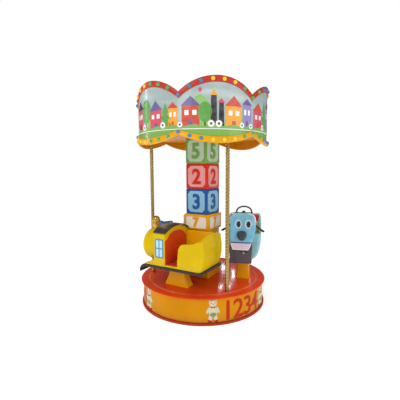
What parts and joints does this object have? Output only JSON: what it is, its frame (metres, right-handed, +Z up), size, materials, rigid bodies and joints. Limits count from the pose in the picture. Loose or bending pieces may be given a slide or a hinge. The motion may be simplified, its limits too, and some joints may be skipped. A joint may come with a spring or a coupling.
{
  "type": "small coin-ride carousel",
  "caption": "Small children's carousel: riding figures on a turning deck round a column of toy blocks, under a scalloped crown on slim poles, over a fixed drum base.",
  "frame": {"origin": "centre of the base plate's underside, on the floor and on the turntable's axis", "axes": "+Z up along the turntable's axis; -Y towards the side seen in the picture"},
  "size_m": [1.4486, 1.5118, 2.35],
  "materials": {
    "red_gelcoat": "glossy orange-red fibreglass gelcoat",
    "amber_gelcoat": "glossy amber-yellow fibreglass gelcoat",
    "orange_gelcoat": "glossy orange fibreglass gelcoat",
    "orange_yellow_gelcoat": "glossy orange-yellow fibreglass gelcoat with cream panels",
    "blue_gelcoat": "glossy deep-blue fibreglass gelcoat with pale-blue panels",
    "bright_red_gelcoat": "glossy red fibreglass gelcoat",
    "green_gelcoat": "glossy leaf-green fibreglass gelcoat with pale panels",
    "yellow_gelcoat": "glossy warm-yellow fibreglass gelcoat",
    "sky_gelcoat": "glossy pale-blue fibreglass gelcoat with painted scenery",
    "white_gelcoat": "glossy white bead",
    "brass": "polished barley-twist brass tube",
    "grey_steel": "plain machined steel",
    "black_rubber": "black moulded rubber edging",
    "train_yellow_gelcoat": "glossy lemon-yellow fibreglass gelcoat",
    "train_blue_gelcoat": "glossy mid-blue fibreglass gelcoat",
    "gold_paint": "gold metallic paint",
    "light_blue_gelcoat": "glossy light-blue fibreglass gelcoat",
    "dark_grey_gelcoat": "glossy charcoal fibreglass gelcoat",
    "pink_gelcoat": "glossy pale-pink fibreglass gelcoat"
  },
  "bodies": {
    "base": {"base_plate": "red_gelcoat", "base_skirt": "amber_gelcoat", "bearing_post": "grey_steel"},
    "turntable": {"deck_hub": "grey_steel", "deck": "red_gelcoat", "column_plinth": "orange_gelcoat", "block_yellow": "orange_yellow_gelcoat", "block_blue": "blue_gelcoat", "block_red": "bright_red_gelcoat", "block_green": "green_gelcoat", "ceiling": "yellow_gelcoat", "crown_panel_1": "sky_gelcoat", "crown_panel_2": "sky_gelcoat", "crown_panel_3": "sky_gelcoat", "crown_panel_4": "sky_gelcoat", "crown_panel_5": "sky_gelcoat", "crown_panel_6": "sky_gelcoat", "crown_top_trim": "bright_red_gelcoat", "crown_bead": "white_gelcoat", "crown_lower_trim": "yellow_gelcoat", "pole_1": "brass", "pole_2": "brass", "pole_3": "brass", "train_pedestal": "orange_gelcoat", "train_bumper": "black_rubber", "train_tub": "train_yellow_gelcoat", "train_cab": "train_yellow_gelcoat", "train_bulkhead": "bright_red_gelcoat", "train_roof": "black_rubber", "train_boiler": "train_yellow_gelcoat", "train_chimney": "gold_paint", "train_seat": "orange_gelcoat", "blue_train_pedestal": "orange_gelcoat", "blue_train_bumper": "black_rubber", "blue_train_tub": "train_blue_gelcoat", "blue_train_cab": "train_blue_gelcoat", "blue_train_bulkhead": "bright_red_gelcoat", "blue_train_roof": "black_rubber", "blue_train_boiler": "train_blue_gelcoat", "blue_train_chimney": "gold_paint", "blue_train_seat": "orange_gelcoat", "satchel_pedestal": "orange_gelcoat", "satchel_box": "dark_grey_gelcoat", "satchel_mouth": "pink_gelcoat", "satchel_head": "light_blue_gelcoat", "satchel_nose": "dark_grey_gelcoat", "satchel_handle": "dark_grey_gelcoat", "satchel_handlebar": "dark_grey_gelcoat", "satchel_seat_tub": "light_blue_gelcoat", "satchel_seat": "bright_red_gelcoat", "satchel_backrest": "bright_red_gelcoat"}
  },
  "joints": [
    {"name": "turntable_spin", "type": "hinge", "parent": "base", "child": "turntable", "pos_m": [0, 0, 0.25], "axis": [0, 0, 1], "continuous": true}
  ]
}
